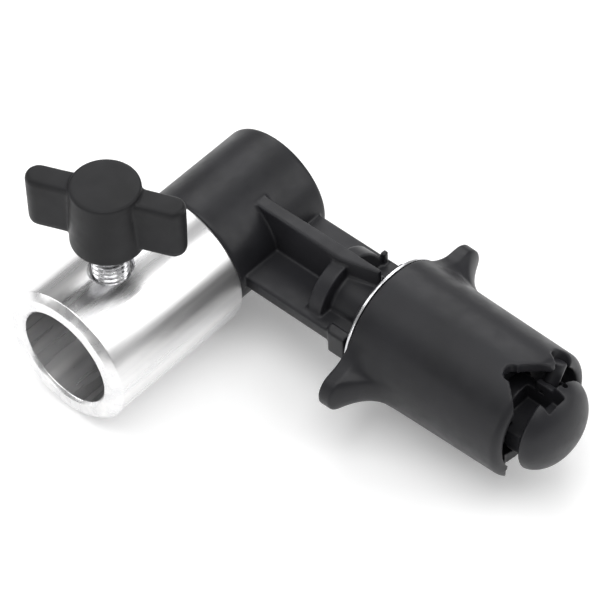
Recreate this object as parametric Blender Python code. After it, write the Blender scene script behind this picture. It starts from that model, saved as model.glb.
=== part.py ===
"""Swivel clip that holds a folding reflector disc on a light stand.

Axes: Y runs along the aluminium socket tube (the mouth is at y = 0), and Z is the axis
of the thumbscrew. The arm is built along X and then turned up by ARM_LIFT about Y.
"""

import math

import bmesh
import bpy
from mathutils import Vector

MM = 0.001
RING = 48                     # sides of the large round parts
SMALL_RING = 24               # sides of pins, screws and studs
CLEARANCE = 0.3 * MM          # between parts that turn or slide in each other
JOINT_GAP = 0.15 * MM         # between flat faces that touch on the real object

# Socket tube
TUBE_RADIUS = 12.0 * MM
TUBE_BORE_RADIUS = 8.45 * MM
TUBE_LENGTH = 28.1 * MM
TUBE_BORE_DEPTH = 24.0 * MM
MOUTH_CHAMFER = 1.1 * MM
BORE_CHAMFER = 0.5 * MM
TUBE_END_CHAMFER = 0.3 * MM
SPIGOT_RADIUS = 5.0 * MM
SPIGOT_LENGTH = 3.2 * MM

# Hub of the swivel arm, on the tube's axis
FRICTION_WASHER = 0.3 * MM
HUB_START = TUBE_LENGTH + FRICTION_WASHER + 2.0 * JOINT_GAP
HUB_END = 49.2 * MM
HUB_RADIUS = 10.55 * MM
HUB_EDGE = 0.8 * MM
COUNTERBORE_RADIUS = 5.6 * MM
COUNTERBORE_DEPTH = 6.0 * MM

# Pivot screw, M5 pan head, with a lock nut inside the socket
PIVOT_RADIUS = 2.5 * MM
PIVOT_HEAD_RADIUS = 4.6 * MM
PIVOT_HEAD_HEIGHT = 2.9 * MM
PIVOT_WASHER = 0.6 * MM
WAVE_WASHER = 0.5 * MM
NUT_RADIUS = 4.6 * MM
NUT_HEIGHT = 4.0 * MM
NUT_COLLAR = 1.0 * MM

# Beam of the swivel arm: two crossed webs along X, lifted a little about the tube's axis
ARM_LIFT = math.radians(1.6)
ARM_Y = 38.8 * MM
WEB_REACH = 8.7 * MM
WEB_THICKNESS = 2.4 * MM
BEAM_END = 32.0 * MM
RIB_X = 23.7 * MM
RIB_THICKNESS = 2.8 * MM
RIB_RADIUS = 7.4 * MM
TAB_X = (27.8 * MM, 31.8 * MM)
TAB_REACH = 9.5 * MM
TAB_HEIGHT = 4.6 * MM
SOCKET_BOSS_RADIUS = 5.2 * MM
END_BOSS_RADIUS = 8.0 * MM
SEAT_X = 36.5 * MM

# Clamp head with its stem, inside the sleeve
TAIL_RADIUS = 3.6 * MM
TAIL_START = 27.2 * MM
STEM_RADIUS = 4.6 * MM
STEM_START = SEAT_X + CLEARANCE
COLLAR_RADIUS = 6.4 * MM
COLLAR_X = 61.5 * MM
DOME_RADIUS = 7.8 * MM
DOME_X = 64.6 * MM
DOME_HEIGHT = 5.1 * MM
DOME_START = math.radians(9.0)
DOME_SWEEP = math.radians(78.0)
HEAD_STEP_FLOOR = 1.6 * MM
HEAD_POCKET = (2.4 * MM, 5.7 * MM)
HEAD_POCKET_SIDE = 2.6 * MM
HEAD_POCKET_FLOOR = 4.0 * MM
FIN_SIDES = (1.0 * MM, 2.2 * MM)
FIN_GAP = 1.0 * MM
FIN_GAP_FLOOR = 5.4 * MM
FIN_LENGTH = 4.6 * MM
TOP_NOTCH = [(59.6, -3.3), (64.5, -7.2), (64.5, 3.6), (59.9, -0.9)]
BOTTOM_NOTCH = [(59.8, -4.0), (64.5, -9.4), (64.5, 7.0), (59.8, 4.0)]
RELIEF_RADIUS = 1.3 * MM
RELIEF_PLACE = Vector((59.8 * MM, -2.6 * MM, 0))
ARCH_RADIUS = 2.1 * MM
NUT_COLLAR_SHARE = 0.82
CROSS_PIN_RADIUS = 1.0 * MM
CROSS_PIN_X = 30.0 * MM
CROSS_PIN_ANGLE = math.radians(45.0)
STOP_PIN_RADIUS = 1.3 * MM
STOP_PIN_X = 62.6 * MM
STOP_PIN_ANGLE = math.radians(57.0)
STOP_PIN_REACH = (4.5 * MM, 9.5 * MM)

# Slider sleeve
SLEEVE_REAR = 33.9 * MM
SLEEVE_FRONT = 63.5 * MM
SLEEVE_REAR_RADIUS = 11.2 * MM
SLEEVE_FRONT_RADIUS = 10.7 * MM
SLEEVE_BORE_RADIUS = 9.9 * MM
SLEEVE_CUP_RADIUS = 8.8 * MM
RIM_ROUNDING = 1.5 * MM
WEB_FACE_X = 55.5 * MM
CUP_FLOOR_X = 57.5 * MM
EAR_REACH = 17.9 * MM
EAR_THICKNESS = 2.2 * MM
EAR_TIP_RADIUS = 3.3 * MM
EAR_ROOT_HALF_WIDTH = 6.4 * MM
EAR_ROOT_OUT = 9.2 * MM
EAR_BLEND = 12.0 * MM
EAR_TURN = math.radians(7.0)
END_RING_THICKNESS = 0.45 * MM

# Return spring and its seat washer
SPRING_WIRE_RADIUS = 0.5 * MM
SPRING_RADIUS = 7.3 * MM
SPRING_TURNS = 8.0
SEAT_WASHER = 0.4 * MM

# Thumbscrew, M6
STUD_Y = 11.5 * MM
STUD_RADIUS = 3.0 * MM
STUD_PITCH = 1.0 * MM
STUD_TIP = 8.9 * MM
STUD_TOP = 27.6 * MM
STUD_HEAD_RADIUS = 4.2 * MM
STUD_HEAD_HEIGHT = 3.6 * MM
KNOB_BOTTOM = 18.5 * MM
KNOB_TOP = 30.4 * MM
KNOB_BOTTOM_RADIUS = 6.0 * MM
KNOB_TOP_RADIUS = 5.6 * MM
WING_BOTTOM = 19.6 * MM
WING_TOP = 29.7 * MM
WING_SPAN = 25.6 * MM
WING_HALF_THICKNESS = 2.15 * MM
WING_TURN = math.radians(24.0)
KNOB_ROUNDING = 0.8 * MM

AXES = {
    "X": (Vector((1, 0, 0)), Vector((0, 1, 0)), Vector((0, 0, 1))),
    "Y": (Vector((0, 1, 0)), Vector((0, 0, 1)), Vector((1, 0, 0))),
    "Z": (Vector((0, 0, 1)), Vector((1, 0, 0)), Vector((0, 1, 0))),
}
TUBE_AXIS = Vector((0, 0, 0))
ARM_AXIS = Vector((0, ARM_Y, 0))
STUD_AXIS = Vector((0, STUD_Y, 0))


def clear_scene():
    for item in list(bpy.data.objects):
        bpy.data.objects.remove(item, do_unlink=True)


def make_material(name, colour, roughness, metallic):
    material = bpy.data.materials.new(name)
    material.use_nodes = True
    shader = material.node_tree.nodes["Principled BSDF"]
    shader.inputs["Base Color"].default_value = (*colour, 1.0)
    shader.inputs["Roughness"].default_value = roughness
    shader.inputs["Metallic"].default_value = metallic
    return material


def make_materials():
    return {
        "aluminium": make_material("turned_aluminium", (0.80, 0.80, 0.81), 0.28, 1.0),
        "plastic": make_material("black_nylon", (0.025, 0.025, 0.028), 0.45, 0.0),
        "knob": make_material("black_knob_plastic", (0.018, 0.018, 0.020), 0.38, 0.0),
        "zinc": make_material("zinc_plated_steel", (0.62, 0.62, 0.64), 0.25, 1.0),
        "spring": make_material("spring_steel", (0.45, 0.45, 0.47), 0.30, 1.0),
        "fibre": make_material("fibre_washer", (0.05, 0.045, 0.04), 0.80, 0.0),
    }


def finish(bm, name, material, origin):
    """Turn a bmesh in world coordinates into an object with the given origin."""
    bmesh.ops.recalc_face_normals(bm, faces=bm.faces)
    bmesh.ops.translate(bm, verts=bm.verts, vec=-origin)
    mesh = bpy.data.meshes.new(name)
    bm.to_mesh(mesh)
    bm.free()
    item = bpy.data.objects.new(name, mesh)
    item.location = origin
    if material is not None:
        mesh.materials.append(material)
    bpy.context.scene.collection.objects.link(item)
    return item


def lathe(name, profile, axis, centre, sides, material=None, hollow=False):
    """Turn (radius, distance along the axis) points into a solid or a hollow ring."""
    along, first, second = AXES[axis]
    bm = bmesh.new()
    rings = []
    for radius, distance in profile:
        point = centre + along * distance
        ring = []
        for step in range(sides):
            angle = 2.0 * math.pi * (step + 0.5) / sides
            spoke = first * math.cos(angle) + second * math.sin(angle)
            ring.append(bm.verts.new(point + spoke * radius))
        rings.append(ring)
    if hollow:
        rings.append(rings[0])
    else:
        bm.faces.new(rings[0])
        bm.faces.new(rings[-1])
    for lower, upper in zip(rings, rings[1:]):
        bridge(bm, lower, upper)
    return finish(bm, name, material, centre.copy())


def bridge(bm, lower, upper):
    """Join two rings that have the same number of vertices."""
    count = len(lower)
    for step in range(count):
        after = (step + 1) % count
        bm.faces.new((lower[step], lower[after], upper[after], upper[step]))


def cylinder(name, radius, start, end, axis, centre, sides, material=None):
    return lathe(name, [(radius, start), (radius, end)], axis, centre, sides, material)


def box(name, low, high, origin, material=None):
    bm = bmesh.new()
    bmesh.ops.create_cube(bm, size=1.0)
    for vertex in bm.verts:
        for i in range(3):
            vertex.co[i] = low[i] if vertex.co[i] < 0.0 else high[i]
    return finish(bm, name, material, origin)


def loft(name, rings, origin, material=None):
    """Close a stack of equal rings with a flat face at each end."""
    bm = bmesh.new()
    loops = [[bm.verts.new(point) for point in ring] for ring in rings]
    for lower, upper in zip(loops, loops[1:]):
        bridge(bm, lower, upper)
    bm.faces.new(list(reversed(loops[0])))
    bm.faces.new(loops[-1])
    return finish(bm, name, material, origin)


def combine(target, other, operation):
    """Leave a Boolean on the target and hide the other solid."""
    modifier = target.modifiers.new(other.name, "BOOLEAN")
    modifier.operation = operation
    modifier.solver = "EXACT"
    modifier.object = other
    other.hide_render = True
    other.display_type = "WIRE"


def cut(target, *cutters):
    for cutter in cutters:
        combine(target, cutter, "DIFFERENCE")


def add(target, *parts):
    for part in parts:
        combine(target, part, "UNION")


def radial_cylinder(name, radius, reach, angle, centre, sides, material=None):
    """A cylinder that leaves the arm's axis at an angle from +Y towards +Z."""
    item = cylinder(name, radius, reach[0], reach[1], "Z", Vector((0, 0, 0)), sides, material)
    item.location = centre
    item.rotation_euler = (angle - math.pi / 2.0, 0.0, 0.0)
    return item


def socket_tube(materials):
    profile = [
        (TUBE_BORE_RADIUS + BORE_CHAMFER, 0.0),
        (TUBE_RADIUS - MOUTH_CHAMFER, 0.0),
        (TUBE_RADIUS, MOUTH_CHAMFER),
        (TUBE_RADIUS, TUBE_LENGTH - TUBE_END_CHAMFER),
        (TUBE_RADIUS - TUBE_END_CHAMFER, TUBE_LENGTH),
        (SPIGOT_RADIUS, TUBE_LENGTH),
        (SPIGOT_RADIUS, TUBE_LENGTH + SPIGOT_LENGTH),
        (PIVOT_RADIUS + CLEARANCE, TUBE_LENGTH + SPIGOT_LENGTH),
        (PIVOT_RADIUS + CLEARANCE, TUBE_BORE_DEPTH),
        (TUBE_BORE_RADIUS, TUBE_BORE_DEPTH),
        (TUBE_BORE_RADIUS, BORE_CHAMFER),
    ]
    tube = lathe("socket_tube", profile, "Y", TUBE_AXIS, RING, materials["aluminium"], True)
    stud_hole = cylinder("cut_stud_hole", STUD_RADIUS + CLEARANCE, TUBE_BORE_RADIUS / 2.0,
                         TUBE_RADIUS + CLEARANCE, "Z", STUD_AXIS, SMALL_RING)
    cut(tube, stud_hole)


def washer(name, inner, outer, start, thickness, axis, centre, material):
    profile = [(inner, start), (outer, start), (outer, start + thickness),
               (inner, start + thickness)]
    return lathe(name, profile, axis, centre, RING, material, True)


def lock_nut(start, end, material):
    """Hexagon nut with the round collar of its locking insert on the free side."""
    sides = 24
    hexagon = []
    for step in range(sides):
        angle = 2.0 * math.pi * step / sides
        lean = (angle + math.pi / 6.0) % (math.pi / 3.0) - math.pi / 6.0
        flat = NUT_RADIUS * math.cos(math.pi / 6.0)
        hexagon.append(flat / math.cos(lean))
    collar = [NUT_RADIUS * NUT_COLLAR_SHARE] * sides
    hole = [PIVOT_RADIUS + CLEARANCE] * sides
    bm = bmesh.new()
    rings = []
    for radii, y in ((hole, start - NUT_COLLAR), (collar, start - NUT_COLLAR),
                     (collar, start), (hexagon, start), (hexagon, end), (hole, end)):
        ring = []
        for step, radius in enumerate(radii):
            angle = 2.0 * math.pi * step / sides
            ring.append(bm.verts.new((radius * math.sin(angle), y, radius * math.cos(angle))))
        rings.append(ring)
    for lower, upper in zip(rings, rings[1:] + rings[:1]):
        bridge(bm, lower, upper)
    finish(bm, "pivot_lock_nut", material, TUBE_AXIS)


def pivot_stack(materials):
    """Friction washer, screw, washers and lock nut on the tube's axis."""
    washer("friction_washer", SPIGOT_RADIUS + CLEARANCE, HUB_RADIUS - CLEARANCE,
           TUBE_LENGTH + JOINT_GAP, FRICTION_WASHER, "Y", TUBE_AXIS, materials["fibre"])
    floor = HUB_END - COUNTERBORE_DEPTH
    wave_start = floor + JOINT_GAP
    plain_start = wave_start + WAVE_WASHER + JOINT_GAP
    head_start = plain_start + PIVOT_WASHER + JOINT_GAP
    hole = PIVOT_RADIUS + CLEARANCE
    washer("wave_washer", hole, PIVOT_HEAD_RADIUS, wave_start, WAVE_WASHER,
           "Y", TUBE_AXIS, materials["spring"])
    washer("plain_washer", hole, PIVOT_HEAD_RADIUS + CLEARANCE, plain_start, PIVOT_WASHER,
           "Y", TUBE_AXIS, materials["zinc"])
    nut_washer_start = TUBE_BORE_DEPTH - JOINT_GAP - PIVOT_WASHER
    washer("nut_washer", hole, PIVOT_HEAD_RADIUS + CLEARANCE, nut_washer_start, PIVOT_WASHER,
           "Y", TUBE_AXIS, materials["zinc"])
    nut_end = nut_washer_start - JOINT_GAP
    nut_start = nut_end - NUT_HEIGHT
    lock_nut(nut_start, nut_end, materials["zinc"])
    crown = head_start + PIVOT_HEAD_HEIGHT
    profile = [
        (PIVOT_RADIUS - 0.5 * MM, nut_start - NUT_COLLAR),
        (PIVOT_RADIUS, nut_start - NUT_COLLAR + 0.5 * MM),
        (PIVOT_RADIUS, head_start),
        (PIVOT_HEAD_RADIUS, head_start),
        (PIVOT_HEAD_RADIUS, crown - 1.2 * MM),
        (PIVOT_HEAD_RADIUS - 0.8 * MM, crown - 0.3 * MM),
        (PIVOT_HEAD_RADIUS - 1.8 * MM, crown),
    ]
    screw = lathe("pivot_screw", profile, "Y", TUBE_AXIS, SMALL_RING, materials["zinc"])
    half_slot = 0.55 * MM
    slot_reach = 2.4 * MM
    slot_depth = 1.4 * MM
    for name, wide, tall in (("cut_cross_a", slot_reach, half_slot),
                             ("cut_cross_b", half_slot, slot_reach)):
        cut(screw, box(name, (-wide, crown - slot_depth, -tall),
                       (wide, crown + slot_depth, tall), TUBE_AXIS))


def arm_hub(materials):
    socket = SPIGOT_RADIUS + CLEARANCE
    socket_floor = TUBE_LENGTH + SPIGOT_LENGTH + CLEARANCE
    hole = PIVOT_RADIUS + CLEARANCE
    floor = HUB_END - COUNTERBORE_DEPTH
    profile = [
        (socket, HUB_START),
        (HUB_RADIUS, HUB_START),
        (HUB_RADIUS, HUB_END - HUB_EDGE),
        (HUB_RADIUS - 0.3 * HUB_EDGE, HUB_END - 0.3 * HUB_EDGE),
        (HUB_RADIUS - HUB_EDGE, HUB_END),
        (COUNTERBORE_RADIUS, HUB_END),
        (COUNTERBORE_RADIUS, floor),
        (hole, floor),
        (hole, socket_floor),
        (socket, socket_floor),
    ]
    return lathe("swivel_arm", profile, "Y", TUBE_AXIS, RING, materials["plastic"], True)


def arm_beam_parts():
    """The crossed webs, the rib disc with its bosses, and the side tabs, along +X."""
    half = WEB_THICKNESS / 2.0
    upright_start = 4.5 * MM
    side_start = 7.0 * MM
    upright_end = BEAM_END - 1.5 * MM
    plan = [(upright_start, -half), (RIB_X, -half), (upright_end, half / 2.0),
            (upright_end, half), (upright_start, half)]
    upright = loft("add_upright_web", [[Vector((x, ARM_Y + y, z)) for x, y in plan]
                                       for z in (-WEB_REACH, WEB_REACH)], ARM_AXIS)
    side = box("add_side_web", (side_start, ARM_Y - WEB_REACH, -half),
               (BEAM_END, ARM_Y + WEB_REACH, half), ARM_AXIS)
    boss_step = BEAM_END - 0.7 * MM
    profile = [
        (RIB_RADIUS, RIB_X - RIB_THICKNESS / 2.0),
        (RIB_RADIUS, RIB_X + RIB_THICKNESS / 2.0),
        (SOCKET_BOSS_RADIUS, RIB_X + RIB_THICKNESS / 2.0),
        (SOCKET_BOSS_RADIUS, boss_step),
        (END_BOSS_RADIUS, boss_step),
        (END_BOSS_RADIUS, SEAT_X),
    ]
    core = lathe("add_core", profile, "X", ARM_AXIS, RING)
    parts = [upright, side, core]
    inner = WEB_REACH - 1.2 * MM
    for name, near, far in (("add_tab_left", -TAB_REACH, -inner),
                            ("add_tab_right", inner, TAB_REACH)):
        parts.append(box(name, (TAB_X[0], ARM_Y + near, -TAB_HEIGHT / 2.0),
                         (TAB_X[1], ARM_Y + far, TAB_HEIGHT / 2.0), ARM_AXIS))
    return parts


def cross_pin_hole(name):
    reach = SOCKET_BOSS_RADIUS + WEB_REACH
    return radial_cylinder(name, CROSS_PIN_RADIUS + CLEARANCE, (-reach, reach),
                           CROSS_PIN_ANGLE, ARM_AXIS + Vector((CROSS_PIN_X, 0, 0)),
                           SMALL_RING)


def swivel_arm(materials):
    arm = arm_hub(materials)
    add(arm, *arm_beam_parts())
    stem_bore = cylinder("cut_stem_bore", TAIL_RADIUS + CLEARANCE, TAIL_START - CLEARANCE,
                         SEAT_X + CLEARANCE, "X", ARM_AXIS, SMALL_RING)
    cut(arm, stem_bore, cross_pin_hole("cut_arm_pin_hole"))


def dome_profile():
    """Quarter ellipse from the rim of the head almost to its tip."""
    steps = 10
    points = []
    for step in range(steps + 1):
        angle = DOME_START + DOME_SWEEP * step / steps
        points.append((DOME_RADIUS * math.cos(angle), DOME_X + DOME_HEIGHT * math.sin(angle)))
    return points


def clamp_head(materials):
    profile = [
        (TAIL_RADIUS, TAIL_START),
        (TAIL_RADIUS, STEM_START),
        (STEM_RADIUS, STEM_START),
        (STEM_RADIUS, COLLAR_X),
        (COLLAR_RADIUS, COLLAR_X),
        (COLLAR_RADIUS, DOME_X + 0.2 * MM),
        (COLLAR_RADIUS + 0.7 * MM, DOME_X + 0.3 * MM),
    ]
    head = lathe("clamp_head", profile + dome_profile(), "X", ARM_AXIS, RING,
                 materials["plastic"])
    top = DOME_RADIUS + 1.0 * MM
    fin_side = ARM_Y + FIN_SIDES[0]
    fin_back = ARM_Y + FIN_SIDES[1]
    step_cut = box("cut_head_step", (COLLAR_X - 1.0 * MM, ARM_Y - top, HEAD_STEP_FLOOR),
                   (DOME_X + 0.1 * MM, fin_side, top), ARM_AXIS)
    pocket = box("cut_head_pocket",
                 (COLLAR_X + HEAD_POCKET[0], ARM_Y - HEAD_POCKET_SIDE, HEAD_POCKET_FLOOR),
                 (COLLAR_X + HEAD_POCKET[1], fin_side, top), ARM_AXIS)
    fin_gap = box("cut_fin_gap", (COLLAR_X - 1.0 * MM, fin_back, FIN_GAP_FLOOR),
                  (COLLAR_X + FIN_LENGTH, fin_back + FIN_GAP, top), ARM_AXIS)
    centre = ARM_AXIS + Vector((STOP_PIN_X, 0, 0))
    reach = (STOP_PIN_REACH[0] - CLEARANCE, STOP_PIN_REACH[1] + CLEARANCE)
    stop_hole = radial_cylinder("cut_stop_pin_hole", STOP_PIN_RADIUS + CLEARANCE, reach,
                                STOP_PIN_ANGLE, centre, SMALL_RING)
    cut(head, step_cut, pocket, fin_gap, stop_hole, cross_pin_hole("cut_tail_pin_hole"))


def pins(materials):
    reach = SOCKET_BOSS_RADIUS - 0.2 * MM
    radial_cylinder("cross_pin", CROSS_PIN_RADIUS, (-reach, reach), CROSS_PIN_ANGLE,
                    ARM_AXIS + Vector((CROSS_PIN_X, 0, 0)), SMALL_RING, materials["zinc"])
    radial_cylinder("stop_pin", STOP_PIN_RADIUS, STOP_PIN_REACH, STOP_PIN_ANGLE,
                    ARM_AXIS + Vector((STOP_PIN_X, 0, 0)), SMALL_RING, materials["plastic"])


def ear_half_width(out):
    """Half width of an ear at a distance out along it: round tip, concave flanks."""
    tip_centre = EAR_REACH - EAR_TIP_RADIUS
    if out > tip_centre:
        return math.sqrt(max(0.0, EAR_TIP_RADIUS ** 2 - (out - tip_centre) ** 2))
    share = (tip_centre - out) / (tip_centre - EAR_ROOT_OUT)
    return EAR_TIP_RADIUS + (EAR_ROOT_HALF_WIDTH - EAR_TIP_RADIUS) * min(share, 1.0) ** 2


def ear_reach(angle):
    """Radius of the rear flange at an angle round the arm: the barrel with two ears."""
    step = 0.05 * MM
    radius = EAR_REACH
    while radius > SLEEVE_REAR_RADIUS:
        if radius * abs(math.sin(angle)) < ear_half_width(radius * abs(math.cos(angle))):
            return radius
        radius -= step
    return SLEEVE_REAR_RADIUS


def sleeve_radius(x, angle):
    """Outer radius of the sleeve: a slight taper, plus the ears and their blend."""
    share = (x - SLEEVE_REAR) / (SLEEVE_FRONT - SLEEVE_REAR)
    barrel = SLEEVE_REAR_RADIUS + (SLEEVE_FRONT_RADIUS - SLEEVE_REAR_RADIUS) * share
    past = x - (SLEEVE_FRONT - RIM_ROUNDING)
    if past > 0.0:
        barrel -= RIM_ROUNDING - math.sqrt(max(0.0, RIM_ROUNDING ** 2 - past ** 2))
    ear_front = SLEEVE_REAR + EAR_THICKNESS
    fade = 1.0
    if x > ear_front:
        fade = max(0.0, 1.0 - (x - ear_front) / EAR_BLEND) ** 4
    return barrel + (ear_reach(angle - EAR_TURN) - SLEEVE_REAR_RADIUS) * fade


def sleeve_body(materials):
    sides = 72
    edge = 0.6 * MM
    blend_steps = 7
    stations = [SLEEVE_REAR, SLEEVE_REAR + edge, SLEEVE_REAR + EAR_THICKNESS]
    for step in range(1, blend_steps + 1):
        share = (step / blend_steps) ** 1.5
        stations.append(SLEEVE_REAR + EAR_THICKNESS + EAR_BLEND * share)
    for share in (1.0, 0.6, 0.3, 0.1, 0.0):
        stations.append(SLEEVE_FRONT - RIM_ROUNDING * share)
    rings = []
    for x in stations:
        trim = edge / 2.0 if x == SLEEVE_REAR else 0.0
        rings.append([(sleeve_radius(x, 2.0 * math.pi * step / sides) - trim, x)
                      for step in range(sides)])
    guide = STEM_RADIUS + CLEARANCE
    for radius, x in ((SLEEVE_CUP_RADIUS, SLEEVE_FRONT - edge / 2.0),
                      (SLEEVE_CUP_RADIUS, CUP_FLOOR_X),
                      (guide, CUP_FLOOR_X),
                      (guide, WEB_FACE_X),
                      (SLEEVE_BORE_RADIUS, WEB_FACE_X),
                      (SLEEVE_BORE_RADIUS, SLEEVE_REAR)):
        rings.append([(radius, x)] * sides)
    bm = bmesh.new()
    loops = []
    for ring in rings:
        loop = []
        for step, (radius, x) in enumerate(ring):
            angle = 2.0 * math.pi * step / sides
            loop.append(bm.verts.new((x, ARM_Y + radius * math.cos(angle),
                                      radius * math.sin(angle))))
        loops.append(loop)
    for lower, upper in zip(loops, loops[1:] + loops[:1]):
        bridge(bm, lower, upper)
    return finish(bm, "slider_sleeve", materials["plastic"], ARM_AXIS.copy())


def slider_sleeve(materials):
    sleeve = sleeve_body(materials)
    high = SLEEVE_REAR_RADIUS + 2.0 * MM
    front = SLEEVE_FRONT + 1.0 * MM
    near = STEM_RADIUS + CLEARANCE
    notches = []
    for name, outline, levels in (("cut_top_notch", TOP_NOTCH, (near, high)),
                                  ("cut_bottom_notch", BOTTOM_NOTCH, (-high, -near))):
        rings = [[Vector((x * MM, ARM_Y + y * MM, z)) for x, y in outline] for z in levels]
        notches.append(loft(name, rings, ARM_AXIS))
    relief = cylinder("cut_notch_relief", RELIEF_RADIUS, near, high, "Z",
                      ARM_AXIS + RELIEF_PLACE, SMALL_RING)
    arch_x = STOP_PIN_X - STOP_PIN_RADIUS - CLEARANCE + ARCH_RADIUS
    reach = (near, high)
    arch = radial_cylinder("cut_arch", ARCH_RADIUS, reach, STOP_PIN_ANGLE,
                           ARM_AXIS + Vector((arch_x, 0, 0)), SMALL_RING)
    # Slightly inside the arch on each side, so that no two cutter faces coincide.
    inset = 0.1 * MM
    mouth = box("cut_arch_mouth", (0.0, inset - ARCH_RADIUS, near + inset),
                (front - arch_x, ARCH_RADIUS - inset, high - inset), Vector((0, 0, 0)))
    mouth.location = arch.location
    mouth.rotation_euler = arch.rotation_euler
    cut(sleeve, *notches, relief, arch, mouth)
    washer("sleeve_end_ring", SLEEVE_BORE_RADIUS, SLEEVE_REAR_RADIUS - 0.05 * MM,
           SLEEVE_REAR - JOINT_GAP - END_RING_THICKNESS, END_RING_THICKNESS, "X",
           ARM_AXIS, materials["zinc"])


def return_spring(materials):
    """A coil round the stem, from the seat washer to the web inside the sleeve."""
    start = SEAT_X + JOINT_GAP + SEAT_WASHER + JOINT_GAP + SPRING_WIRE_RADIUS
    end = WEB_FACE_X - JOINT_GAP - SPRING_WIRE_RADIUS
    steps_per_turn = 16
    wire_sides = 6
    count = int(SPRING_TURNS * steps_per_turn)
    rings = []
    for step in range(count + 1):
        angle = 2.0 * math.pi * step / steps_per_turn
        x = start + (end - start) * step / count
        spoke = Vector((0, math.cos(angle), math.sin(angle)))
        ring = []
        for side in range(wire_sides):
            turn = 2.0 * math.pi * side / wire_sides
            offset = spoke * math.cos(turn) + Vector((1, 0, 0)) * math.sin(turn)
            ring.append(ARM_AXIS + Vector((x, 0, 0)) + spoke * SPRING_RADIUS
                        + offset * SPRING_WIRE_RADIUS)
        rings.append(ring)
    loft("return_spring", rings, ARM_AXIS.copy(), materials["spring"])
    washer("spring_seat_washer", STEM_RADIUS + CLEARANCE, END_BOSS_RADIUS + 0.2 * MM,
           SEAT_X + JOINT_GAP, SEAT_WASHER, "X", ARM_AXIS, materials["zinc"])


def thumbscrew_stud(materials):
    """Threaded stud with ring grooves for the thread, and a head inside the knob."""
    groove = 0.35 * MM
    head_bottom = STUD_TOP - STUD_HEAD_HEIGHT
    profile = [(STUD_RADIUS - 0.7 * MM, STUD_TIP)]
    turns = int((head_bottom - STUD_TIP) / STUD_PITCH) - 1
    for turn in range(turns):
        z = STUD_TIP + (turn + 0.7) * STUD_PITCH
        profile.append((STUD_RADIUS, z))
        profile.append((STUD_RADIUS - groove, z + STUD_PITCH / 2.0))
    profile.extend([(STUD_RADIUS, head_bottom), (STUD_HEAD_RADIUS, head_bottom),
                    (STUD_HEAD_RADIUS, STUD_TOP)])
    lathe("thumbscrew_stud", profile, "Z", STUD_AXIS, SMALL_RING, materials["zinc"])


def wing_outline(inset):
    """Plan of the two wings: round tips, waisted flanks and a wide root."""
    tip = WING_HALF_THICKNESS
    tip_centre = WING_SPAN / 2.0 - tip
    points = []
    tip_steps = 8
    for step in range(tip_steps + 1):
        angle = -math.pi / 2.0 + math.pi * step / tip_steps
        points.append((tip_centre + (tip - inset) * math.cos(angle),
                       (tip - inset) * math.sin(angle)))
    for share in (0.75, 0.5, 0.3, 0.15):
        x = tip_centre * share
        flare = 0.9 * MM * max(0.0, (0.5 - share) / 0.35) ** 1.5
        points.append((x, tip + flare - inset))
    mirrored = [(-x, y) for x, y in reversed(points)]
    top = points[tip_steps // 2:] + mirrored[:len(mirrored) - tip_steps // 2]
    bottom = [(x, -y) for x, y in reversed(top)]
    outline = top + bottom[1:-1]
    turned = []
    for x, y in outline:
        turned.append((x * math.cos(WING_TURN) - y * math.sin(WING_TURN),
                       x * math.sin(WING_TURN) + y * math.cos(WING_TURN)))
    return turned


def thumbscrew_knob(materials):
    rounding = KNOB_ROUNDING
    soft = 0.3 * rounding
    profile = [
        (KNOB_BOTTOM_RADIUS - rounding, KNOB_BOTTOM),
        (KNOB_BOTTOM_RADIUS - soft, KNOB_BOTTOM + soft),
        (KNOB_BOTTOM_RADIUS, KNOB_BOTTOM + rounding),
        (KNOB_TOP_RADIUS, KNOB_TOP - rounding),
        (KNOB_TOP_RADIUS - soft, KNOB_TOP - soft),
        (KNOB_TOP_RADIUS - rounding, KNOB_TOP),
    ]
    knob = lathe("thumbscrew_knob", profile, "Z", STUD_AXIS, RING, materials["knob"])
    top = WING_TOP
    draft = 0.25 * MM
    rings = []
    for inset, z in ((draft + rounding, WING_BOTTOM), (draft + soft, WING_BOTTOM + soft),
                     (draft, WING_BOTTOM + rounding), (0.0, top - rounding),
                     (soft, top - soft), (rounding, top)):
        rings.append([Vector((x, STUD_Y + y, z)) for x, y in wing_outline(inset)])
    add(knob, loft("add_wings", rings, STUD_AXIS.copy()))
    head_bottom = STUD_TOP - STUD_HEAD_HEIGHT
    cavity = [
        (STUD_RADIUS + CLEARANCE, KNOB_BOTTOM - 1.0 * MM),
        (STUD_RADIUS + CLEARANCE, head_bottom - CLEARANCE),
        (STUD_HEAD_RADIUS + CLEARANCE, head_bottom - CLEARANCE),
        (STUD_HEAD_RADIUS + CLEARANCE, STUD_TOP + CLEARANCE),
    ]
    cut(knob, lathe("cut_stud_cavity", cavity, "Z", STUD_AXIS, SMALL_RING))


def lift_arm(items):
    """Hang the arm's parts on an empty on the swivel axis and turn it upwards."""
    pivot = bpy.data.objects.new("arm_pivot", None)
    pivot.rotation_euler = (0.0, -ARM_LIFT, 0.0)
    bpy.context.scene.collection.objects.link(pivot)
    for item in items:
        item.parent = pivot


def build():
    clear_scene()
    materials = make_materials()
    socket_tube(materials)
    pivot_stack(materials)
    thumbscrew_stud(materials)
    thumbscrew_knob(materials)
    fixed = set(bpy.data.objects)
    swivel_arm(materials)
    clamp_head(materials)
    pins(materials)
    slider_sleeve(materials)
    return_spring(materials)
    lift_arm([item for item in bpy.data.objects if item not in fixed])


build()
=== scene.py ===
"""Looks of the reflector holder clip: detailed pieces, materials, light and camera.

Every length is in millimetres until finish_mesh() scales it to metres. The pieces of
the arm are drawn along +X and turned up by ARM_LIFT, as the frame has them.
"""

import math

import bmesh
import bpy
from mathutils import Matrix, Vector


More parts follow.
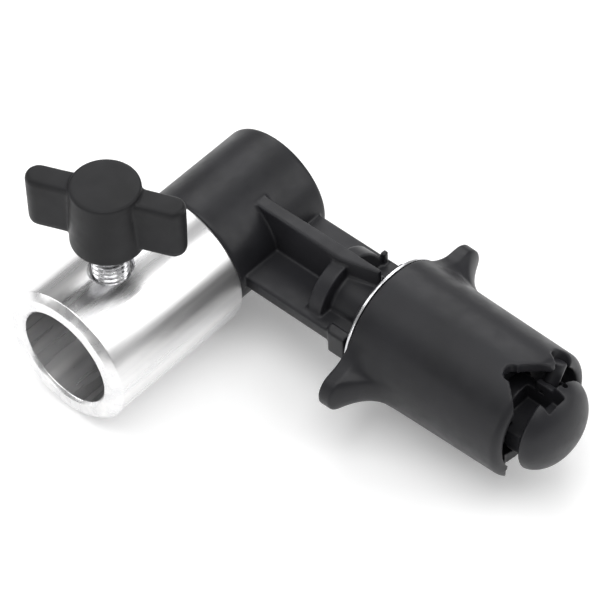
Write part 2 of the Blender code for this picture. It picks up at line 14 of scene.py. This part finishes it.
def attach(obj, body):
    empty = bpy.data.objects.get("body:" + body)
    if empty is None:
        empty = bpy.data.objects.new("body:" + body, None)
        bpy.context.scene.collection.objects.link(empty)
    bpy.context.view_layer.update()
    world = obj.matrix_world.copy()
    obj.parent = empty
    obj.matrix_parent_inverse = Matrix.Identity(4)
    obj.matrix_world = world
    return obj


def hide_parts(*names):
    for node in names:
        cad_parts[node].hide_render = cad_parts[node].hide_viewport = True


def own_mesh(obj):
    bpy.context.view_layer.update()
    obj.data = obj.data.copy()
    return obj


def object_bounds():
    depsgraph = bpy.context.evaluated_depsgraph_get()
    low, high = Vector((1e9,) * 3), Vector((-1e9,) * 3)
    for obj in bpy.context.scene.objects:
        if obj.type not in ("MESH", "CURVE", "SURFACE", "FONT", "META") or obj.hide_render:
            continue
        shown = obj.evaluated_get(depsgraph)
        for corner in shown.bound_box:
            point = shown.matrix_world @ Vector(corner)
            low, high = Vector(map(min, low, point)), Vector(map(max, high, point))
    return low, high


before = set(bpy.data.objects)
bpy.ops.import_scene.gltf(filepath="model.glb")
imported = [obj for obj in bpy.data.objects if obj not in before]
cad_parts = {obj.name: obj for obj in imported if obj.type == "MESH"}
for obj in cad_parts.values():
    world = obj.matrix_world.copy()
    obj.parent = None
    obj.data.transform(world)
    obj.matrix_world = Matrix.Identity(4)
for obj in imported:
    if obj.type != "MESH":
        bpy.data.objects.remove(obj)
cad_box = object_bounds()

MM = 0.001
ARM_LIFT = math.radians(1.6)
ARM_Y = 38.8
FINE = 160                    # sides of the large round parts
ROUND = 64                    # sides of pins, screws and holes

TUBE_RADIUS = 11.96
TUBE_BORE = 8.45
TUBE_END = 28.1
BORE_FLOOR = 24.0
SPIGOT_RADIUS = 5.0
SPIGOT_END = 31.3
STUD_Y = 11.5
STUD_RADIUS = 3.0

HUB_START = 28.7
HUB_END = 49.2
HUB_RADIUS = 10.55
SCREW_HOLE = 2.8              # radius, through the hub and the spigot
HUB_RECESS = (5.3, 31.6)      # radius and floor of the recess that faces the tube
HUB_COUNTERBORE = (5.6, 43.2) # radius and floor of the recess for the screw's head
WEB_REACH = 8.7
WEB_HALF = 1.2
RIB = (22.3, 25.1)
RIB_RADIUS = 7.4
BOSS_RADIUS = 5.2
END_BOSS_RADIUS = 8.0
END_BOSS_X = 31.3
SEAT_X = 36.5
TAB_REACH = (7.5, 9.5)
CROSS_PIN_X = 30.0
CROSS_PIN_ANGLE = math.radians(45.0)
CROSS_PIN_HOLE = 1.3

SLEEVE_REAR = 33.9
SLEEVE_FRONT = 63.5
SLEEVE_RADII = (11.2, 10.7)
SLEEVE_BORE = 9.9
CUP_RADIUS = 8.8
EAR_REACH = 17.9
EAR_TIP = 3.3
EAR_ROOT = (9.2, 3.1)         # distance out, and how much wider than the tip it is there
EAR_THICKNESS = 2.2
EAR_BLEND = 12.0
EAR_TURN = math.radians(7.0)
RIM_ROUNDING = 1.5
INNER_WEB = (55.5, 57.5)
GUIDE_RADIUS = 4.9
TOP_NOTCH = [(59.6, -3.3), (64.5, -7.2), (64.5, 3.6), (59.9, -0.9)]
BOTTOM_NOTCH = [(59.8, -4.0), (64.5, -9.4), (64.5, 7.0), (59.8, 4.0)]
NOTCH_LEVELS = (4.9, 13.2)
ARCH_RADIUS = 2.1

STEM_RADIUS = 4.6
HEAD_X = 61.5
COLLAR_RADIUS = 6.4
DOME_X = 64.6
DOME_RADIUS = 7.8
DOME_HEIGHT = 5.1
STOP_PIN_X = 62.6
STOP_PIN_ANGLE = math.radians(57.0)

KNOB = (18.5, 30.4)
WINGS = (19.6, 29.7)
WING_TURN = math.radians(24.0)
WING_SPAN = 25.6

AXES = {
    "X": (Vector((1, 0, 0)), Vector((0, 1, 0)), Vector((0, 0, 1))),
    "Y": (Vector((0, 1, 0)), Vector((0, 0, 1)), Vector((1, 0, 0))),
    "Z": (Vector((0, 0, 1)), Vector((1, 0, 0)), Vector((0, 1, 0))),
}
ORIGIN = Vector((0, 0, 0))
TUBE_LINE = ORIGIN
ARM_LINE = Vector((0, ARM_Y, 0))
STUD_LINE = Vector((0, STUD_Y, 0))


# ---- mesh tools -------------------------------------------------------------

def make_object(bm, name):
    bmesh.ops.recalc_face_normals(bm, faces=bm.faces)
    mesh = bpy.data.meshes.new(name)
    bm.to_mesh(mesh)
    bm.free()
    item = bpy.data.objects.new(name, mesh)
    bpy.context.scene.collection.objects.link(item)
    return item


def skin(name, rings, closed=False):
    """Join equal rings of points; the ends are capped, or joined to each other."""
    bm = bmesh.new()
    loops = [[bm.verts.new(point) for point in ring] for ring in rings]
    if closed:
        loops.append(loops[0])
    else:
        bm.faces.new(loops[0])
        bm.faces.new(loops[-1])
    for lower, upper in zip(loops, loops[1:]):
        for i in range(len(lower)):
            j = (i + 1) % len(lower)
            bm.faces.new((lower[i], lower[j], upper[j], upper[i]))
    return make_object(bm, name)


def lathe(name, profile, axis, centre, sides=FINE, hollow=False):
    """Turn (radius, distance along the axis) points round an axis."""
    along, first, second = AXES[axis]
    rings = []
    for radius, distance in profile:
        ring = []
        for i in range(sides):
            angle = 2.0 * math.pi * (i + 0.5) / sides
            spoke = first * math.cos(angle) + second * math.sin(angle)
            ring.append(centre + along * distance + spoke * radius)
        rings.append(ring)
    return skin(name, rings, hollow)


def rounded(profile, radius, steps=3, closed=True):
    """Round each corner of a profile, by at most a third of its shorter side."""
    count = len(profile)
    points = []
    for i, corner in enumerate(profile):
        if not closed and i in (0, count - 1):
            points.append(corner)
            continue
        here = Vector(corner)
        before = Vector(profile[i - 1]) - here
        after = Vector(profile[(i + 1) % count]) - here
        reach = min(radius, before.length / 3.0, after.length / 3.0)
        start = here + before.normalized() * reach
        end = here + after.normalized() * reach
        for k in range(steps + 1):
            t = k / steps
            point = start * (1 - t) ** 2 + here * 2 * t * (1 - t) + end * t ** 2
            points.append((point.x, point.y))
    return points


def box(name, low, high):
    rings = [[Vector((low[0], low[1], z)), Vector((high[0], low[1], z)),
              Vector((high[0], high[1], z)), Vector((low[0], high[1], z))]
             for z in (low[2], high[2])]
    return skin(name, rings)


def prism(name, outline, low, high):
    """Extrude an (x, y) outline that is drawn from the arm's axis, along Z."""
    rings = [[Vector((x, ARM_Y + y, z)) for x, y in outline] for z in (low, high)]
    return skin(name, rings)


def spoke_turn(item, x, angle):
    """Turn a piece drawn along Z so that it leaves the arm's axis at an angle from +Y."""
    turn = Matrix.Rotation(angle - math.pi / 2.0, 4, "X")
    item.data.transform(Matrix.Translation((x, ARM_Y, 0.0)) @ turn)
    return item


def settle(item):
    """Apply an object's modifiers to its mesh."""
    graph = bpy.context.evaluated_depsgraph_get()
    mesh = bpy.data.meshes.new_from_object(item.evaluated_get(graph))
    item.modifiers.clear()
    item.data = mesh


def combine(item, operation, tools):
    for tool in tools:
        modifier = item.modifiers.new(tool.name, "BOOLEAN")
        modifier.operation = operation
        modifier.solver = "EXACT"
        modifier.object = tool
    settle(item)
    for tool in tools:
        bpy.data.objects.remove(tool, do_unlink=True)


def mould(item, voxel, passes):
    """Remesh evenly and relax, which rounds every edge as in a moulded part."""
    remesh = item.modifiers.new("remesh", "REMESH")
    remesh.mode = "VOXEL"
    remesh.voxel_size = voxel
    relax = item.modifiers.new("relax", "SMOOTH")
    relax.factor = 0.5
    relax.iterations = passes
    settle(item)
    for face in item.data.polygons:
        face.use_smooth = True


def crease(item, degrees=32.0):
    for face in item.data.polygons:
        face.use_smooth = True
    item.data.set_sharp_from_angle(angle=math.radians(degrees))


def finish_mesh(item, body, nodes, material, on_arm):
    """Scale to metres, lift with the arm if needed, and hand the piece to the frame."""
    if on_arm:
        item.data.transform(Matrix.Rotation(-ARM_LIFT, 4, "Y"))
    item.data.transform(Matrix.Scale(MM, 4))
    item.data.materials.clear()
    item.data.materials.append(material)
    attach(item, body)
    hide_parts(*nodes)
    return item


# ---- materials --------------------------------------------------------------

def new_material(name):
    material = bpy.data.materials.new(name)
    material.use_nodes = True
    tree = material.node_tree
    return material, tree, tree.nodes["Principled BSDF"]


def noise(tree, scale, detail=3.0, stretch=None):
    """Noise over the object's own coordinates, in metres, stretched if asked."""
    place = tree.nodes.new("ShaderNodeTexCoord")
    source = place.outputs["Object"]
    if stretch is not None:
        mapping = tree.nodes.new("ShaderNodeMapping")
        mapping.inputs["Scale"].default_value = stretch
        tree.links.new(source, mapping.inputs["Vector"])
        source = mapping.outputs["Vector"]
    texture = tree.nodes.new("ShaderNodeTexNoise")
    texture.inputs["Scale"].default_value = scale
    texture.inputs["Detail"].default_value = detail
    tree.links.new(source, texture.inputs["Vector"])
    return texture.outputs["Fac"]


def spread(tree, value, low, high, low_in=0.3, high_in=0.7):
    mapper = tree.nodes.new("ShaderNodeMapRange")
    mapper.inputs["From Min"].default_value = low_in
    mapper.inputs["From Max"].default_value = high_in
    mapper.inputs["To Min"].default_value = low
    mapper.inputs["To Max"].default_value = high
    tree.links.new(value, mapper.inputs["Value"])
    return mapper.outputs["Result"]


def two_tone(tree, value, dark, light):
    ramp = tree.nodes.new("ShaderNodeValToRGB")
    ramp.color_ramp.elements[0].position = 0.35
    ramp.color_ramp.elements[1].position = 0.65
    ramp.color_ramp.elements[0].color = (*dark, 1.0)
    ramp.color_ramp.elements[1].color = (*light, 1.0)
    tree.links.new(value, ramp.inputs["Fac"])
    return ramp.outputs["Color"]


def bumps(tree, shader, layers):
    """Chain (height, depth in metres, strength) layers into the shader's normal."""
    normal = None
    for height, depth, strength in layers:
        bump = tree.nodes.new("ShaderNodeBump")
        bump.inputs["Distance"].default_value = depth
        bump.inputs["Strength"].default_value = strength
        tree.links.new(height, bump.inputs["Height"])
        if normal is not None:
            tree.links.new(normal, bump.inputs["Normal"])
        normal = bump.outputs["Normal"]
    tree.links.new(normal, shader.inputs["Normal"])


def moulded_plastic(name, dark, light, roughness, grain, gloss):
    """Satin black plastic: spark-eroded grain, faint flow marks, uneven sheen."""
    material, tree, shader = new_material(name)
    tree.links.new(two_tone(tree, noise(tree, 90.0), dark, light),
                   shader.inputs["Base Color"])
    tree.links.new(spread(tree, noise(tree, 420.0), roughness - 0.05, roughness + 0.07),
                   shader.inputs["Roughness"])
    shader.inputs["Specular IOR Level"].default_value = gloss
    bumps(tree, shader, [(noise(tree, 260.0), 0.00012, 0.25),
                         (noise(tree, 5200.0, 2.0), 0.00002, grain)])
    return material


def turned_aluminium():
    """Polished turned aluminium: tool marks round the tube, streaks along it."""
    material, tree, shader = new_material("turned_aluminium")
    shader.inputs["Metallic"].default_value = 1.0
    streaks = noise(tree, 420.0, 5.0, (1.0, 0.05, 1.0))
    marks = noise(tree, 60.0, 6.0, (1.0, 160.0, 1.0))
    tree.links.new(two_tone(tree, streaks, (0.76, 0.76, 0.77), (0.90, 0.895, 0.89)),
                   shader.inputs["Base Color"])
    tree.links.new(spread(tree, streaks, 0.22, 0.35), shader.inputs["Roughness"])
    bumps(tree, shader, [(streaks, 0.00010, 0.40), (marks, 0.00001, 0.22)])
    return material


def bright_metal(name, dark, light, roughness):
    """Plated or drawn steel with fine scratches and slightly uneven plating."""
    material, tree, shader = new_material(name)
    shader.inputs["Metallic"].default_value = 1.0
    tree.links.new(two_tone(tree, noise(tree, 900.0), dark, light),
                   shader.inputs["Base Color"])
    tree.links.new(spread(tree, noise(tree, 2200.0), roughness - 0.06, roughness + 0.08),
                   shader.inputs["Roughness"])
    bumps(tree, shader, [(noise(tree, 3500.0, 4.0), 0.00001, 0.2)])
    return material


def fibre():
    material, tree, shader = new_material("fibre_washer")
    tree.links.new(two_tone(tree, noise(tree, 1500.0), (0.03, 0.028, 0.025),
                            (0.07, 0.06, 0.05)), shader.inputs["Base Color"])
    tree.links.new(spread(tree, noise(tree, 3000.0), 0.72, 0.9), shader.inputs["Roughness"])
    bumps(tree, shader, [(noise(tree, 6000.0), 0.00004, 0.5)])
    return material


# ---- pieces -----------------------------------------------------------------

def socket_tube(material):
    profile = [
        (TUBE_BORE + 0.5, 0.0),
        (TUBE_RADIUS - 1.1, 0.0),
        (TUBE_RADIUS, 1.1),
        (TUBE_RADIUS, TUBE_END - 0.3),
        (TUBE_RADIUS - 0.3, TUBE_END),
        (SPIGOT_RADIUS, TUBE_END),
        (SPIGOT_RADIUS, SPIGOT_END),
        (SCREW_HOLE, SPIGOT_END),
        (SCREW_HOLE, BORE_FLOOR),
        (TUBE_BORE, BORE_FLOOR),
        (TUBE_BORE, 0.5),
    ]
    tube = lathe("turned_socket_tube", rounded(profile, 0.12), "Y", TUBE_LINE, FINE, True)
    drill = [(STUD_RADIUS + 0.3, 4.0), (STUD_RADIUS + 0.3, 11.3),
             (STUD_RADIUS + 0.9, 11.9), (STUD_RADIUS + 0.9, 13.0)]
    combine(tube, "DIFFERENCE", [lathe("drill", drill, "Z", STUD_LINE, ROUND)])
    crease(tube)
    return finish_mesh(tube, "socket", ["socket_tube"], material, False)


def thread(name, centre, low, high, radius, pitch, sides=48):
    """Threaded rod along Z: each ring follows the helix of a rounded 60 degree thread."""
    depth = 0.54 * pitch
    steps = 14
    count = int((high - low) / pitch * steps)
    rings = []
    for i in range(count + 1):
        z = low + (high - low) * i / count
        ring = []
        for j in range(sides):
            turn = j / sides
            phase = (z / pitch - turn) % 1.0
            wave = abs(2.0 * phase - 1.0)
            flank = min(1.0, max(0.0, (wave - 0.12) / 0.76))
            taper = min(1.0, (z - low) / 0.8 + 0.15)
            reach = radius - depth * flank
            reach = min(reach, radius - depth * (1.0 - taper))
            angle = 2.0 * math.pi * turn
            ring.append(centre + Vector((reach * math.cos(angle), reach * math.sin(angle), z)))
        rings.append(ring)
    return skin(name, rings)


def stud(material):
    shank = thread("threaded_stud", STUD_LINE, 8.95, 24.0, STUD_RADIUS - 0.03, 1.0)
    head = lathe("stud_head", [(4.16, 23.99), (4.16, 27.55)], "Z", STUD_LINE, ROUND)
    combine(shank, "UNION", [head])
    crease(shank, 50.0)
    return finish_mesh(shank, "stud", ["thumbscrew_stud"], material, False)


def wing_outline(shrink):
    """Plan of both wings: round tips, straight flanks and a flared root."""
    half = 2.15
    tip_centre = WING_SPAN / 2.0 - half
    quarter = []
    for i in range(9):
        angle = math.pi / 2.0 * i / 8
        quarter.append((tip_centre + (half - shrink) * math.cos(angle),
                        (half - shrink) * math.sin(angle)))
    for i in range(1, 9):
        x = tip_centre * (1.0 - i / 9.0)
        flare = 2.3 * max(0.0, (6.6 - x) / 6.6) ** 2
        quarter.append((x, half + flare - shrink))
    upper = quarter + [(-x, y) for x, y in reversed(quarter)]
    outline = upper + [(-x, -y) for x, y in upper[1:-1]]
    turn = Matrix.Rotation(WING_TURN, 2)
    return [turn @ Vector(point) for point in outline]


def knob(material):
    bottom, top = KNOB
    profile = [(4.2, bottom + 0.03), (6.0, bottom + 0.03), (5.9, bottom + 4.0),
               (5.55, top - 0.03), (4.6, top - 0.03)]
    body = lathe("wing_knob", rounded(profile, 1.5, 6, False), "Z", STUD_LINE, FINE)
    low, high = WINGS
    rings = []
    for shrink, z in ((0.75, low), (0.25, low + 0.4), (0.1, low + 1.1),
                      (0.0, high - 0.9), (0.15, high - 0.4), (0.5, high - 0.1)):
        rings.append([STUD_LINE + Vector((p.x, p.y, z)) for p in wing_outline(shrink)])
    combine(body, "UNION", [skin("wings", rings)])
    cavity = [(3.3, bottom - 1.0), (3.3, 23.7), (4.5, 23.7), (4.5, 27.9)]
    combine(body, "DIFFERENCE", [lathe("cavity", cavity, "Z", STUD_LINE, ROUND)])
    mould(body, 0.17, 7)
    return finish_mesh(body, "knob", ["thumbscrew_knob"], material, False)


def arm(material):
    recess, recess_floor = HUB_RECESS
    counterbore, counterbore_floor = HUB_COUNTERBORE
    hub_profile = [(recess, HUB_START), (HUB_RADIUS, HUB_START), (HUB_RADIUS, HUB_END),
                   (counterbore, HUB_END), (counterbore, counterbore_floor),
                   (SCREW_HOLE, counterbore_floor), (SCREW_HOLE, recess_floor),
                   (recess, recess_floor)]
    hub = lathe("arm_moulding", rounded(hub_profile, 0.7), "Y", TUBE_LINE, FINE, True)
    upright = prism("upright", [(4.6, -WEB_HALF), (23.6, -WEB_HALF), (30.5, WEB_HALF / 2),
                                (30.5, WEB_HALF), (4.6, WEB_HALF)], -WEB_REACH, WEB_REACH)
    side = prism("side", [(7.1, -WEB_REACH), (32.0, -WEB_REACH), (32.0, WEB_REACH),
                          (7.1, WEB_REACH)], -WEB_HALF, WEB_HALF)
    core = lathe("core", [(RIB_RADIUS, RIB[0]), (RIB_RADIUS, RIB[1]), (BOSS_RADIUS, RIB[1]),
                          (BOSS_RADIUS, END_BOSS_X), (END_BOSS_RADIUS, END_BOSS_X),
                          (END_BOSS_RADIUS, SEAT_X)], "X", ARM_LINE)
    near, far = TAB_REACH
    left = [(27.8, 0.9 - far), (28.6, -far), (31.8, -far), (31.8, -near), (27.8, -near)]
    right = [(27.8, near), (31.8, near), (31.8, far), (28.6, far), (27.8, near + 0.9)]
    tabs = [prism("tab_left", left, -2.3, 2.3), prism("tab_right", right, -2.3, 2.3)]
    burr = box("burr", (24.6, ARM_Y + 7.2, 0.6), (25.5, ARM_Y + 8.3, 3.4))
    combine(hub, "UNION", [upright, side, core, *tabs, burr])
    bore = lathe("stem_bore", [(3.9, 26.9), (3.9, 37.0)], "X", ARM_LINE, ROUND)
    pin_bore = lathe("pin_bore", [(CROSS_PIN_HOLE, -13.9), (CROSS_PIN_HOLE, 13.9)], "Z",
                     ORIGIN, ROUND)
    combine(hub, "DIFFERENCE", [bore, spoke_turn(pin_bore, CROSS_PIN_X, CROSS_PIN_ANGLE)])
    mould(hub, 0.21, 5)
    return finish_mesh(hub, "arm", ["swivel_arm"], material, True)


def head(material):
    profile = [(3.6, 27.2), (3.6, 36.8), (STEM_RADIUS, 36.8), (STEM_RADIUS, HEAD_X),
               (COLLAR_RADIUS, HEAD_X), (COLLAR_RADIUS, DOME_X + 0.2), (7.1, DOME_X + 0.3)]
    for i in range(25):
        angle = math.radians(9.0 + 79.0 * i / 24)
        profile.append((DOME_RADIUS * math.cos(angle), DOME_X + DOME_HEIGHT * math.sin(angle)))
    dome = lathe("domed_head", profile, "X", ARM_LINE)
    step = box("step", (60.0, ARM_Y - 9.0, 1.6), (64.7, ARM_Y + 1.0, 9.0))
    pocket = box("pocket", (63.9, ARM_Y - 2.6, 4.0), (67.2, ARM_Y + 1.0, 9.0))
    gap = box("gap", (60.0, ARM_Y + 2.2, 5.4), (66.1, ARM_Y + 3.2, 9.0))
    socket = lathe("pin_socket", [(1.6, 4.2), (1.6, 10.0)], "Z", ORIGIN, ROUND)
    cross = lathe("cross", [(CROSS_PIN_HOLE, -5.0), (CROSS_PIN_HOLE, 5.0)], "Z", ORIGIN,
                  ROUND)
    combine(dome, "DIFFERENCE", [step, pocket, gap,
                                 spoke_turn(socket, STOP_PIN_X, STOP_PIN_ANGLE),
                                 spoke_turn(cross, CROSS_PIN_X, CROSS_PIN_ANGLE)])
    mould(dome, 0.15, 4)
    return finish_mesh(dome, "arm", ["clamp_head"], material, True)


def ear_half_width(out):
    """Half width of an ear at a distance out along it: round tip, concave flanks."""
    tip_centre = EAR_REACH - EAR_TIP
    if out > tip_centre:
        return math.sqrt(max(0.0, EAR_TIP ** 2 - (out - tip_centre) ** 2))
    root, widening = EAR_ROOT
    share = min(1.0, (tip_centre - out) / (tip_centre - root))
    return EAR_TIP + widening * share ** 2


def ear_reach(angle):
    """Radius of the rear flange at an angle round the arm."""
    radius = EAR_REACH
    while radius > SLEEVE_RADII[0]:
        if radius * abs(math.sin(angle)) < ear_half_width(radius * abs(math.cos(angle))):
            return radius
        radius -= 0.02
    return SLEEVE_RADII[0]


def sleeve_radius(x, reach):
    """Outer radius: slight taper, round front rim, and the ears with their long blend."""
    share = (x - SLEEVE_REAR) / (SLEEVE_FRONT - SLEEVE_REAR)
    barrel = SLEEVE_RADII[0] + (SLEEVE_RADII[1] - SLEEVE_RADII[0]) * share
    past = x - (SLEEVE_FRONT - RIM_ROUNDING)
    if past > 0.0:
        barrel -= RIM_ROUNDING - math.sqrt(max(0.0, RIM_ROUNDING ** 2 - past ** 2))
    ahead = max(0.0, x - SLEEVE_REAR - EAR_THICKNESS)
    fade = max(0.0, 1.0 - ahead / EAR_BLEND) ** 4
    return barrel + (reach - SLEEVE_RADII[0]) * fade


def sleeve(material):
    sides = 240
    reaches = [ear_reach(2.0 * math.pi * i / sides - EAR_TURN) for i in range(sides)]
    stations = [SLEEVE_REAR + EAR_THICKNESS * i / 4 for i in range(4)]
    stations += [SLEEVE_REAR + EAR_THICKNESS + EAR_BLEND * (i / 24) ** 1.3 for i in range(25)]
    stations += [SLEEVE_FRONT - RIM_ROUNDING * (1.0 - i / 10) for i in range(11)]
    rings = []
    for x in stations:
        rings.append([(sleeve_radius(x, reach), x) for reach in reaches])
    web_rear, web_front = INNER_WEB
    for radius, x in ((CUP_RADIUS, SLEEVE_FRONT - 0.3), (CUP_RADIUS, web_front),
                      (GUIDE_RADIUS, web_front), (GUIDE_RADIUS, web_rear),
                      (SLEEVE_BORE, web_rear), (SLEEVE_BORE, SLEEVE_REAR)):
        rings.append([(radius, x)] * sides)
    loops = []
    for ring in rings:
        loops.append([Vector((x, ARM_Y + r * math.cos(2.0 * math.pi * i / sides),
                              r * math.sin(2.0 * math.pi * i / sides)))
                      for i, (r, x) in enumerate(ring)])
    barrel = skin("slider_sleeve_moulding", loops, True)
    low, high = NOTCH_LEVELS
    top = prism("top_notch", TOP_NOTCH, low, high)
    bottom = prism("bottom_notch", BOTTOM_NOTCH, -high, -low)
    relief = lathe("relief", [(1.3, low), (1.3, high)], "Z", Vector((59.8, ARM_Y - 2.6, 0)), 32)
    arch_x = STOP_PIN_X - 1.6 + ARCH_RADIUS
    arch = lathe("arch", [(ARCH_RADIUS, low), (ARCH_RADIUS, high)], "Z", ORIGIN, 48)
    mouth = box("mouth", (0.0, -2.05, 5.0), (4.0, 2.05, 13.0))
    combine(barrel, "DIFFERENCE", [top, bottom, relief,
                                   spoke_turn(arch, arch_x, STOP_PIN_ANGLE),
                                   spoke_turn(mouth, arch_x, STOP_PIN_ANGLE)])
    mould(barrel, 0.2, 5)
    return finish_mesh(barrel, "sleeve", ["slider_sleeve"], material, True)


def end_ring(material):
    profile = [(9.9, 33.3), (11.15, 33.3), (11.15, 33.75), (9.9, 33.75)]
    ring = lathe("bright_end_ring", rounded(profile, 0.14), "X", ARM_LINE, FINE, True)
    crease(ring)
    return finish_mesh(ring, "sleeve", ["sleeve_end_ring"], material, True)


def stop_pin(material):
    profile = rounded([(1.28, 4.55), (1.28, 9.45), (0.7, 9.46)], 0.5, 5, False)
    pin = lathe("stop_pin_boss", profile, "Z", ORIGIN, ROUND)
    crease(pin)
    spoke_turn(pin, STOP_PIN_X, STOP_PIN_ANGLE)
    return finish_mesh(pin, "arm", ["stop_pin"], material, True)


def coil(material):
    """Return spring: eight turns of even pitch from one end to the other."""
    start, end, wire, coil_radius = 37.7, 54.85, 0.48, 7.3
    turns, steps, sides = 8.0, 48, 14
    count = int(turns * steps)
    rings = []
    for i in range(count + 1):
        share = i / count
        angle = 2.0 * math.pi * turns * share
        x = start + (end - start) * share
        spoke = Vector((0, math.cos(angle), math.sin(angle)))
        centre = ARM_LINE + Vector((x, 0, 0)) + spoke * coil_radius
        ring = []
        for j in range(sides):
            turn = 2.0 * math.pi * j / sides
            ring.append(centre + (spoke * math.cos(turn) + AXES["X"][0] * math.sin(turn)) * wire)
        rings.append(ring)
    spring = skin("coil_spring", rings)
    crease(spring, 60.0)
    finish_mesh(spring, "arm", ["return_spring"], material, True)
    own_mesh(spring)


def pivot_screw(material):
    crown = 47.65
    profile = [(2.0, 17.25), (2.45, 17.7), (2.45, 44.75), (4.55, 44.75), (4.55, 46.4),
               (3.8, 47.3), (2.6, crown)]
    screw = lathe("cross_head_screw", rounded(profile, 0.25, 3, False), "Y", TUBE_LINE, ROUND)
    slots = [box("slot_a", (-2.4, crown - 1.4, -0.5), (2.4, crown + 1.0, 0.5)),
             box("slot_b", (-0.5, crown - 1.4, -2.4), (0.5, crown + 1.0, 2.4))]
    combine(screw, "DIFFERENCE", slots)
    crease(screw)
    return finish_mesh(screw, "socket", ["pivot_screw"], material, False)


def paint_node(name, material):
    """Give a kept CAD node its procedural material."""
    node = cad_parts[name]
    node.data.materials.clear()
    node.data.materials.append(material)


# ---- stage ------------------------------------------------------------------

def stage(low):
    """Pale floor just under the object's lowest point."""
    bm = bmesh.new()
    bmesh.ops.create_grid(bm, x_segments=1, y_segments=1, size=3.0)
    floor = make_object(bm, "floor")
    floor.location.z = low - 0.0002
    material, tree, shader = new_material("pale_floor")
    tree.links.new(two_tone(tree, noise(tree, 8.0), (0.90, 0.90, 0.90), (0.92, 0.92, 0.92)),
                   shader.inputs["Base Color"])
    shader.inputs["Roughness"].default_value = 0.7
    shader.inputs["Emission Color"].default_value = (1.0, 1.0, 1.0, 1.0)
    shader.inputs["Emission Strength"].default_value = 0.22
    floor.data.materials.append(material)


def softbox(name, azimuth, elevation, distance, width, height, power):
    a, e = math.radians(azimuth), math.radians(elevation)
    away = Vector((math.sin(a) * math.cos(e), -math.cos(a) * math.cos(e), math.sin(e)))
    light = bpy.data.lights.new(name, "AREA")
    light.shape = "RECTANGLE"
    light.size = width
    light.size_y = height
    light.energy = power
    item = bpy.data.objects.new(name, light)
    item.location = Vector((0.03, 0.03, 0.0)) + away * distance
    item.rotation_euler = away.to_track_quat("Z", "Y").to_euler()
    bpy.context.scene.collection.objects.link(item)


def lights():
    world = bpy.data.worlds.new("studio")
    bpy.context.scene.world = world
    world.use_nodes = True
    background = world.node_tree.nodes["Background"]
    background.inputs["Color"].default_value = (1.0, 1.0, 1.0, 1.0)
    background.inputs["Strength"].default_value = 0.34
    # name, azimuth, elevation, distance, width, height, watts
    softbox("overhead", 20.0, 80.0, 0.7, 0.6, 0.6, 2.7)
    softbox("left", -62.0, 34.0, 0.6, 0.22, 0.5, 0.7)
    softbox("back_left", -140.0, 40.0, 0.6, 0.3, 0.4, 1.0)
    softbox("back_right", 128.0, 38.0, 0.6, 0.3, 0.5, 1.2)
    softbox("mouth_fill", -8.0, 12.0, 0.5, 0.2, 0.12, 0.2)
    bpy.context.scene.view_settings.view_transform = "Standard"


def camera():
    """Long lens at the product shot's angle, aimed a little above the tube's axis."""
    azimuth, elevation, roll = (math.radians(v) for v in (42.95, 49.55, -1.04))
    target = Vector((24.68, 27.40, 9.24)) * MM
    distance = 0.6
    back = Vector((math.sin(azimuth) * math.cos(elevation),
                   -math.cos(azimuth) * math.cos(elevation), math.sin(elevation)))
    level = Vector((math.cos(azimuth), math.sin(azimuth), 0.0))
    above = back.cross(level)
    right = level * math.cos(roll) + above * math.sin(roll)
    up = above * math.cos(roll) - level * math.sin(roll)
    data = bpy.data.cameras.new("camera")
    data.sensor_width = 36.0
    data.lens = 235.6
    data.clip_start = 0.05
    item = bpy.data.objects.new("camera", data)
    turn = Matrix((right, up, back)).transposed().to_4x4()
    item.matrix_world = Matrix.Translation(target + back * distance) @ turn
    bpy.context.scene.collection.objects.link(item)
    bpy.context.scene.camera = item


def build():
    plastic = moulded_plastic("black_nylon", (0.012, 0.012, 0.014), (0.018, 0.018, 0.021),
                              0.40, 0.35, 0.30)
    knob_plastic = moulded_plastic("black_knob_plastic", (0.016, 0.016, 0.017),
                                   (0.022, 0.022, 0.024), 0.42, 0.25, 0.16)
    zinc = bright_metal("zinc_plated_steel", (0.62, 0.62, 0.64), (0.80, 0.80, 0.81), 0.22)
    wire = bright_metal("spring_steel", (0.38, 0.38, 0.40), (0.52, 0.52, 0.54), 0.30)
    washer = fibre()
    socket_tube(turned_aluminium())
    stud(zinc)
    knob(knob_plastic)
    arm(plastic)
    head(plastic)
    sleeve(plastic)
    end_ring(zinc)
    stop_pin(plastic)
    coil(wire)
    pivot_screw(zinc)
    for name in ("plain_washer", "nut_washer", "pivot_lock_nut", "cross_pin",
                 "spring_seat_washer"):
        paint_node(name, zinc)
    paint_node("wave_washer", wire)
    paint_node("friction_washer", washer)


build()
stage(cad_box[0].z)
lights()
camera()
bpy.context.view_layer.update()
